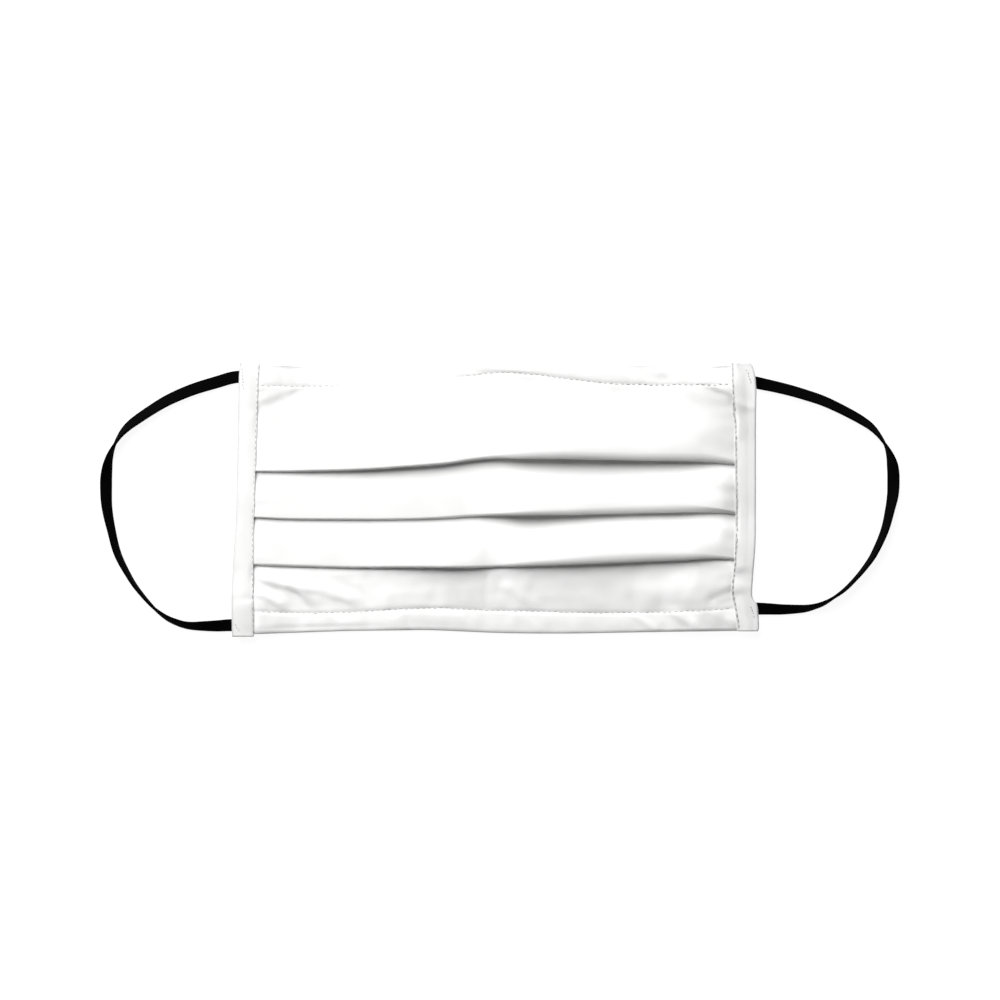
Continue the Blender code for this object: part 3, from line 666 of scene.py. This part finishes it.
def makePanel():
    shape = panelCloth
    half = elasticBand["maskHalf"] - sideStrip["panelInset"]
    even = np.linspace(-1, 1, shape["columns"])
    nominal = half * (even + shape["sideBunch"] * np.sin(math.pi * even) / math.pi)
    rows = panelRows(nominal)[::-1]
    y, z = (np.array([row[k] for row in rows]) for k in (0, 1))
    freedom = np.array([row[2] for row in rows])[:, None]
    share = np.broadcast_to(nominal / half, y.shape)
    outer, _ = sideLines(share, y)
    x = share * (outer - sideStrip["panelInset"])
    outer, inner = sideLines(x, y)
    length = np.where(x < 0, *shape["climb"])
    climb = smoothStep((np.abs(x) - inner + shape["climbPast"]) / length + 1)
    z = z + freedom * panelSoftness(x, y, inner) + climb * (sideStrip["cloth"] + shape["climbRoom"])
    points = np.stack([x, y, z + cornerLift(x, y)], axis=2)
    along = np.linalg.norm(np.diff(points, axis=0), axis=2).mean(axis=1)
    along = np.concatenate([[0], np.cumsum(along)])
    flat = np.stack([x, np.broadcast_to(along[:, None], x.shape)], axis=2)
    top, bottom = hemFolds(x)
    # painted shade along the top fold, broken into stretches, and along the bottom fold
    broken = np.clip(0.85 + ripple(x, 0 * y, *shape["brokenRim"]), 0, 1)
    paintedShade = shape["topRim"](x) / mm * broken * bell(top - y, shape["topRimWidth"])
    paintedShade += shape["bottomRim"] * bell(y - bottom, shape["bottomRimWidth"])
    panel = clothSheet("pleated_cotton", points, flat, paintedShade)
    thicken(panel, shape["cloth"])
    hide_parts("pleated_panel")
    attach(panel, "root")
    print(f"panel: {len(rows)} rows, cut {2 * half / mm:.0f} x {along[-1] / mm:.0f} mm")
    return panel


def slideMax(values, reach):
    # along the rows, the highest value within reach rows either way
    padded = np.pad(values, ((reach, reach), (0, 0)), mode="edge")
    return np.max([padded[k : k + len(values)] for k in range(2 * reach + 1)], axis=0)


def slideMean(values, reach):
    padded = np.pad(values, ((reach, reach), (0, 0)), mode="edge")
    return np.mean([padded[k : k + len(values)] for k in range(2 * reach + 1)], axis=0)


def edgeShare(inside):
    # the strip's thickness, as a share of its cloth, this far from its sewn edge
    thin = sideStrip["edgeThickness"]
    return thin + (1 - thin) * smoothStep(inside / sideStrip["edgeTaper"])


def panelBelow(lines, frontX, outer, y, panelTop):
    # how high the panel lies under each place on the strip's front
    shape = sideStrip
    reach = np.abs(outer) - shape["panelInset"] - shape["feelSide"]
    feelX = np.sign(frontX) * np.minimum(np.abs(frontX), reach[:, None])
    feelY = np.clip(y, lines["ends"][0] + shape["feelEnds"], lines["ends"][1] - shape["feelEnds"])
    return np.array([[dropOnto(panelTop, x, place)[0].z for x in row] for row, place in zip(feelX, feelY)])


def frontLevel(sideName, frontX, y, inner, front, under):
    # the height of the strip's front over the panel
    shape = sideStrip
    gridY = np.broadcast_to(y[:, None], frontX.shape)
    inside = np.abs(frontX - inner[:, None])
    wall = shape["cloth"] * edgeShare(inside)
    tight, loose, least = (slideMean(slideMax(under, reach), blur) for reach, blur in shape["rests"])
    grip = smoothStep((front - shape["gripFrom"]) / (1 - shape["gripFrom"]))
    level = loose * (1 - grip) + tight * grip + wall / 2 + shape["restGap"]
    level = level - shape["lean"] * (1 - front) ** 1.5
    level = level - shape["seamPress"] * bell(inside - shape["seamInset"][sideName], shape["seamSpread"])
    soft = creaseHeight(frontX, gridY, shape["creases"])
    soft += ripple(frontX * 0.4, gridY, *shape["unevenness"][sideName])
    soft = np.where(soft < 0, shape["loft"] * np.tanh(soft / shape["loft"]), soft)
    level = level + soft * (1 - smoothStep((front - 0.9) / 0.1) * 0.7)
    least = np.maximum(least, under) + wall / 2 + tableGap
    return (level + least + np.hypot(level - least, shape["blend"])) / 2


def stripRim(sideName, side, x, outer, inner, y):
    # how strongly painted shade darkens the strip, at each place
    shape = sideStrip
    places = {
        "foldRims": side * (outer[:, None] - x),
        "seamRims": side * (x - inner[:, None]) - shape["seamInset"][sideName],
        "endRims": shape[sideName]["ends"][1] - y[:, None],
    }
    paintedShade = shape["stripShade"][sideName](y[:, None]) / mm
    for edge, distance in places.items():
        shaded = shape[edge][sideName] * bell(distance, shape[edge]["width"])
        if edge == "seamRims":
            shaded = shaded * np.clip(0.8 + ripple(0 * x, y[:, None], *shape["brokenRim"]), 0, 1)
        paintedShade = paintedShade + shaded
    return paintedShade


def makeStrip(name, node, sideName, panelTop):
    shape = sideStrip
    lines = shape[sideName]
    side = -1 if sideName == "left" else 1
    y = np.linspace(*lines["ends"], shape["rows"])
    outer, inner = lines["outer"](y), lines["inner"](y)
    turnX = outer - side * shape["foldRadius"]
    front = 1 - np.linspace(1, 0, shape["frontColumns"]) ** 1.4  # from the fold to the inner edge
    frontX = turnX[:, None] + (inner - turnX)[:, None] * front
    under = panelBelow(lines, frontX, outer, y, panelTop)
    level = frontLevel(sideName, frontX, y, inner, front, under)
    section = []
    for share in np.linspace(1, 0, shape["backColumns"])[:-1]:
        x = turnX + (inner - turnX) * share
        section.append((x, shape["cloth"] / 2 + tableGap + cornerLift(x, y)))
    backZ = shape["cloth"] / 2 + tableGap + cornerLift(outer, y)
    middle, halfHeight = (backZ + level[:, 0]) / 2, (level[:, 0] - backZ) / 2
    for angle in np.linspace(0, math.pi, shape["foldColumns"])[:-1]:
        x = turnX + side * shape["foldRadius"] * math.sin(angle)
        section.append((x, middle - halfHeight * math.cos(angle)))
    section += [(frontX[:, k], level[:, k]) for k in range(len(front))]
    points = np.stack([np.stack([x, y, z], axis=1) for x, z in section], axis=1)
    if side < 0:
        points = points[:, ::-1]
    across = np.linalg.norm(np.diff(points, axis=1), axis=2).mean(axis=0)
    across = np.concatenate([[0], np.cumsum(across)])
    flat = np.stack(np.broadcast_arrays(across, y[:, None]), axis=2)
    strip = clothSheet(name, points, flat, stripRim(sideName, side, points[:, :, 0], outer, inner, y))
    edge = strip.vertex_groups.new(name="cloth")
    for corner in strip.data.vertices:
        inside = abs(corner.co.x - float(lines["inner"](corner.co.y)))
        share = (edgeShare(inside) - shape["edgeThickness"]) / (1 - shape["edgeThickness"])
        full = 1 if corner.co.z < 1 * mm else float(share)  # the back leg keeps its whole thickness
        edge.add([corner.index], full, "REPLACE")
    thicken(strip, shape["cloth"], edge.name, shape["edgeThickness"])
    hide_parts(node)
    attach(strip, "root")
    print(f"{name}: cut {across[-1] / mm:.1f} x {(y[-1] - y[0]) / mm:.1f} mm")
    return strip


# stitches: each a short bead of thread that sinks into the cloth at its ends; the real thread is white, and it is
# painted grey as painted shade for the shadows round each stitch
stitching = {
    "length": 1.6 * mm,
    "width": 0.42 * mm,
    "height": 0.26 * mm,
    "sunk": 0.03 * mm,
    "pitch": 2 * mm,
    "waver": 0.1 * mm,  # how far a stitch strays from its line
    "skew": 0.14,  # and how far it turns from it, in radians
    "thickness": (0.8, 1.2),  # spread of the stitches' sizes
    "reach": (0.7, 1.15),
    "thinnest": 0.1,  # where the thread shows less than this, there is no stitch
    "hems": {"top_hem": ("topSeam", -82.2 * mm, 82 * mm), "bottom_hem": ("bottomSeam", -84 * mm, 82.8 * mm)},
    "endGap": 0.8 * mm,
    # how thick the thread shows along each seam, as (x or y, weight) in millimetres
    "weights": {
        "top_hem": curveThrough(((-85, 0.7), (-60, 0.6), (-50, 0.16), (-15, 0.16), (-5, 0.8), (40, 1.1),
                                 (56, 1.5), (84, 1.5))),
        "bottom_hem": curveThrough(((-85, 0.7), (-40, 0.8), (0, 0.7), (50, 0.85), (84, 0.75))),
        "left": curveThrough(((-47, 0.8), (-20, 0.7), (5, 0.55), (30, 0.7), (47, 0.7))),
        "right": curveThrough(((-46, 1.7), (-20, 1.6), (0, 1.3), (20, 1.3), (30, 1.6), (47, 1.2))),
    },
    # bar-tacks over the elastic's ends, from x y to x y in millimetres
    "barTacks": {
        "left": ((-88.3, 46, -87.9, 38.6), (-91, -43.2, -89, -46.2)),
        "right": ((87.4, 45.6, 89.2, 40.6), (88.9, -37, 90.6, -41.6)),
    },
    "tackPitch": 1.1 * mm,
    "tackWeight": 0.8,
    "tackLength": 0.6,
}


def stitchMaster():
    deselectAll()
    bpy.ops.mesh.primitive_uv_sphere_add(segments=8, ring_count=6, radius=1)
    master = bpy.context.object
    bpy.ops.object.mode_set(mode="EDIT")
    bpy.ops.mesh.select_all(action="SELECT")
    size = (stitching["width"] / 2, stitching["height"] / 2, stitching["length"] / 2)
    bpy.ops.transform.resize(value=size)
    bpy.ops.transform.rotate(value=math.radians(90), orient_axis="X", center_override=(0, 0, 0))
    bpy.ops.object.mode_set(mode="OBJECT")
    master.data.shade_smooth()
    return master


def sew(name, places, surface, weight, longer=1):
    # lays one stitch at each (x, y, heading) and joins them; headings are angles from +X, and weight gives
    # how thick the thread shows there
    master = stitchMaster()
    dice = np.random.default_rng(len(places))
    copies = []
    for x, y, heading in places:
        aside = dice.normal(0, stitching["waver"])
        x, y = x - math.sin(heading) * aside, y + math.cos(heading) * aside
        thick = float(weight(x, y)) * dice.uniform(*stitching["thickness"])
        long = longer * dice.uniform(*stitching["reach"])
        heading += dice.uniform(-stitching["skew"], stitching["skew"])
        hit, normal = dropOnto(surface, x, y)
        if hit is None or thick < stitching["thinnest"]:
            continue
        if normal.z < 0:
            normal = -normal
        ahead = Vector((math.cos(heading), math.sin(heading), 0))
        ahead = (ahead - normal * ahead.dot(normal)).normalized()
        turn = Matrix((ahead.cross(normal), ahead, normal)).transposed().to_4x4()
        copy = master.copy()
        copy.data = master.data.copy()
        size = Matrix.Diagonal((thick, long, thick, 1))
        copy.data.transform(Matrix.Translation(hit - normal * stitching["sunk"]) @ turn @ size)
        bpy.context.scene.collection.objects.link(copy)
        copies.append(copy)
    bpy.data.objects.remove(master)
    deselectAll()
    for copy in copies:
        copy.select_set(True)
    bpy.context.view_layer.objects.active = copies[0]
    bpy.ops.object.join()
    seam = bpy.context.object
    seam.name = seam.data.name = name
    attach(seam, "root")
    print(f"{name}: {len(copies)} stitches")
    return seam


def alongLine(x, y, pitch):
    # even places along a line given by its points, with the line's heading at each
    length = np.concatenate([[0], np.cumsum(np.hypot(np.diff(x), np.diff(y)))])
    at = np.arange(pitch / 2, length[-1], pitch)
    placeX, placeY = np.interp(at, length, x), np.interp(at, length, y)
    heading = np.arctan2(np.gradient(placeY), np.gradient(placeX))
    return list(zip(placeX, placeY, heading))


def makeStitches(panel, strips):
    panelTop, stripTop = surfaceTree(panel), surfaceTree(*strips)
    seams = []
    for hem, (curve, left, right) in stitching["hems"].items():
        x = np.linspace(left, right, 300)
        places = alongLine(x, panelCloth[curve](x), stitching["pitch"])
        weight = stitching["weights"][hem]
        seams.append(sew(hem + "_stitches", places, panelTop, lambda x, y, weight=weight: weight(x / mm)))
    for sideName, side in (("left", -1), ("right", 1)):
        lines = sideStrip[sideName]
        y = np.linspace(lines["ends"][0] + stitching["endGap"], lines["ends"][1] - stitching["endGap"], 200)
        x = lines["inner"](y) + side * sideStrip["seamInset"][sideName]
        places = alongLine(x, y, stitching["pitch"])
        weight = stitching["weights"][sideName]
        seams.append(sew(sideName + "_side_stitches", places, stripTop,
                         lambda x, y, weight=weight: weight(y / mm)))
        tack = []
        for fromX, fromY, toX, toY in stitching["barTacks"][sideName]:
            x, y = np.linspace(fromX, toX, 40) * mm, np.linspace(fromY, toY, 40) * mm
            tack += alongLine(x, y, stitching["tackPitch"])
        seams.append(sew(sideName + "_bar_tacks", tack, stripTop, lambda x, y: stitching["tackWeight"],
                         stitching["tackLength"]))
    return seams


# materials
def setInput(material, socket, value):
    # value may also be another node's output
    if isinstance(value, bpy.types.NodeSocket):
        material.node_tree.links.new(value, socket)
    else:
        socket.default_value = value


def newMaterial(name, colour, finish):
    material = bpy.data.materials.new(name)
    material.use_nodes = True
    shader = material.node_tree.nodes["Principled BSDF"]
    shader.inputs["Base Color"].default_value = (*colour, 1)
    for socket, value in finish.items():
        shader.inputs[socket].default_value = value
    return material, shader


def addNode(material, kind, **values):
    # values name the node's inputs, and its settings in small letters
    node = material.node_tree.nodes.new(kind)
    for name, value in values.items():
        if name in node.inputs:
            setInput(material, node.inputs[name], value)
        else:
            setattr(node, name, value)
    return node


def mathNode(material, operation, *values):
    node = addNode(material, "ShaderNodeMath", operation=operation)
    for socket, value in zip(node.inputs, values):
        setInput(material, socket, value)
    return node.outputs[0]


def noiseNode(material, coordinates, scale, detail):
    return addNode(material, "ShaderNodeTexNoise", Scale=scale, Detail=detail, Vector=coordinates).outputs["Fac"]


def toneNode(material, factor, finish, low=0, high=1):
    ramp = addNode(material, "ShaderNodeValToRGB", Fac=factor)
    for stop, place, tone in zip(ramp.color_ramp.elements, (low, high), ("dark", "light")):
        stop.position, stop.color = place, (*finish[tone], 1)
    return ramp.outputs["Color"]


def giveRelief(material, shader, height, finish):
    bump = addNode(material, "ShaderNodeBump", Strength=finish["bump"], Distance=finish["relief"], Height=height)
    setInput(material, shader.inputs["Normal"], bump.outputs["Normal"])


cottonFinish = {
    "shader": {"Roughness": 0.92, "Sheen Weight": 0.12, "Sheen Roughness": 0.5, "Specular IOR Level": 0.25},
    "thread": 0.3 * mm,
    "relief": 0.035 * mm,
    "bump": 0.7,
    "blotchScale": 60,
    "blotches": 0.5,  # relief of the blotches and slubs, as a share of the weave's
    "slubScale": 900,
    "slubs": 0.6,
    "shadeDepth": 0.6,  # how much darker the cloth is where its painted shade is full
    "panel": {"dark": (0.83, 0.83, 0.825), "light": (0.88, 0.88, 0.875)},
    "binding": {"dark": (0.82, 0.82, 0.815), "light": (0.865, 0.865, 0.86)},
}


def cottonMaterial(name, tones):
    # plain weave, with its threads along the cloth
    finish = cottonFinish
    material, shader = newMaterial(name, tones["light"], finish["shader"])
    coordinates = addNode(material, "ShaderNodeTexCoord").outputs["Object"]
    blotches = noiseNode(material, coordinates, finish["blotchScale"], 4)
    # painted shade: the base colour is darkened by the shade attribute that clothSheet stores on the mesh
    paintedShade = addNode(material, "ShaderNodeAttribute", attribute_name="paintedShade").outputs["Fac"]
    shadeFactor = mathNode(material, "SUBTRACT", 1, mathNode(material, "MULTIPLY", paintedShade, finish["shadeDepth"]))
    colour = toneNode(material, blotches, tones, 0.3, 0.7)
    shaded = addNode(material, "ShaderNodeVectorMath", operation="SCALE", Vector=colour, Scale=shadeFactor)
    setInput(material, shader.inputs["Base Color"], shaded.outputs[0])
    place = addNode(material, "ShaderNodeUVMap", uv_map="cloth").outputs["UV"]
    parts = addNode(material, "ShaderNodeSeparateXYZ", Vector=place).outputs
    turns = math.pi / finish["thread"]
    warp, weft = (mathNode(material, "SINE", mathNode(material, "MULTIPLY", parts[axis], turns)) for axis in "XY")
    weave = mathNode(material, "ABSOLUTE", mathNode(material, "MULTIPLY", warp, weft))
    slubs = noiseNode(material, coordinates, finish["slubScale"], 2)
    height = mathNode(material, "ADD", weave, mathNode(material, "MULTIPLY", slubs, finish["slubs"]))
    height = mathNode(material, "ADD", height, mathNode(material, "MULTIPLY", blotches, finish["blotches"]))
    giveRelief(material, shader, height, finish)
    return material


threadFinish = {
    "shader": {"Roughness": 0.7, "Sheen Weight": 0.2},
    # grey, as painted shade: the real thread is white
    "colour": (0.46, 0.46, 0.455),
    "dark": (0.36, 0.36, 0.355),
    "light": (0.52, 0.52, 0.515),
    "twistScale": 1500,
    "relief": 0.05 * mm,
    "bump": 0.6,
}


def threadMaterial():
    finish = threadFinish
    material, shader = newMaterial("painted_shade_thread", finish["colour"], finish["shader"])
    coordinates = addNode(material, "ShaderNodeTexCoord").outputs["Object"]
    twist = noiseNode(material, coordinates, finish["twistScale"], 4)
    setInput(material, shader.inputs["Base Color"], toneNode(material, twist, finish, 0.3, 0.7))
    giveRelief(material, shader, twist, finish)
    return material


elasticFinish = {
    "shader": {"Roughness": 0.9, "Specular IOR Level": 0.03},
    "dark": (0.0004, 0.0004, 0.0005),
    "light": (0.0012, 0.0012, 0.0013),
    "rib": 0.58 * mm,
    "pick": 0.75 * mm,
    "yarns": 0.35,  # relief of the yarns, as a share of the ribs'
    "relief": 0.08 * mm,
    "bump": 0.8,
}


def elasticMaterial():
    # braid: ribs along the band with yarns that cross them in a zigzag
    finish = elasticFinish
    material, shader = newMaterial("black_elastic_braid", finish["light"], finish["shader"])
    place = addNode(material, "ShaderNodeUVMap", uv_map="cloth").outputs["UV"]
    parts = addNode(material, "ShaderNodeSeparateXYZ", Vector=place).outputs
    across = mathNode(material, "MULTIPLY", parts["Y"], 1 / finish["rib"])
    along = mathNode(material, "MULTIPLY", parts["X"], 1 / finish["pick"])
    phase = mathNode(material, "ADD", along, mathNode(material, "PINGPONG", across, 1))
    yarn = mathNode(material, "SINE", mathNode(material, "MULTIPLY", phase, math.tau))
    rib = mathNode(material, "SINE", mathNode(material, "MULTIPLY", across, math.pi))
    height = mathNode(material, "MULTIPLY", yarn, finish["yarns"])
    height = mathNode(material, "ADD", height, mathNode(material, "ABSOLUTE", rib))
    # painted shade: the grooves between ribs and yarns are coloured darker than their crowns
    setInput(material, shader.inputs["Base Color"], toneNode(material, height, finish))
    giveRelief(material, shader, height, finish)
    return material


def paint(obj, material):
    obj.data.materials.clear()
    obj.data.materials.append(material)


# light table and studio lights
studio = {
    "tableSize": 40,
    "tableColour": (0.12, 0.12, 0.12),
    "tableRoughness": 0.9,
    "tableDrop": 0.05 * mm,  # how far the table lies below everything on it
    "tableGlow": 0.93,
    "worldLight": 0.1,
    "keyPower": 22.8,
    "keySize": 1.16,
    "keyFrom": (-0.4, 0.69, 0.575),
    "exposure": 0,
}


def setStudio():
    deselectAll()
    bpy.ops.mesh.primitive_plane_add(size=studio["tableSize"], location=(0, 0, -studio["tableDrop"]))
    floor = bpy.context.object
    floor.name = floor.data.name = "floor"
    material, shader = newMaterial("light_table", studio["tableColour"], {"Roughness": studio["tableRoughness"]})
    shader.inputs["Emission Color"].default_value = (1, 1, 1, 1)
    shader.inputs["Emission Strength"].default_value = studio["tableGlow"]
    paint(floor, material)
    world = bpy.data.worlds.new("soft_room")
    world.use_nodes = True
    world.node_tree.nodes["Background"].inputs["Color"].default_value = (1, 1, 1, 1)
    world.node_tree.nodes["Background"].inputs["Strength"].default_value = studio["worldLight"]
    bpy.context.scene.world = world
    bpy.ops.object.light_add(type="AREA", location=studio["keyFrom"])
    key = bpy.context.object
    key.name = "key_light"
    key.data.shape = "DISK"
    key.data.size = studio["keySize"]
    key.data.energy = studio["keyPower"]
    key.rotation_euler = (-Vector(studio["keyFrom"])).to_track_quat("-Z", "Y").to_euler()
    scene = bpy.context.scene
    scene.view_settings.view_transform = "Standard"
    scene.view_settings.look = "None"
    scene.view_settings.exposure = studio["exposure"]


bands = [makeEarLoop(name) for name in elasticBand["loops"]]
panelPiece = makePanel()
panelSurface = surfaceTree(panelPiece)
stripPieces = [
    makeStrip("left_side_strip", "left_side_binding", "left", panelSurface),
    makeStrip("right_side_strip", "right_side_binding", "right", panelSurface),
]
seamPieces = makeStitches(panelPiece, stripPieces)
paint(panelPiece, cottonMaterial("white_cotton_weave", cottonFinish["panel"]))
binding = cottonMaterial("white_binding_weave", cottonFinish["binding"])
thread = threadMaterial()
elastic = elasticMaterial()
for piece in stripPieces:
    paint(piece, binding)
for piece in seamPieces:
    paint(piece, thread)
for piece in bands:
    paint(piece, elastic)
setStudio()
print("materials and studio set")
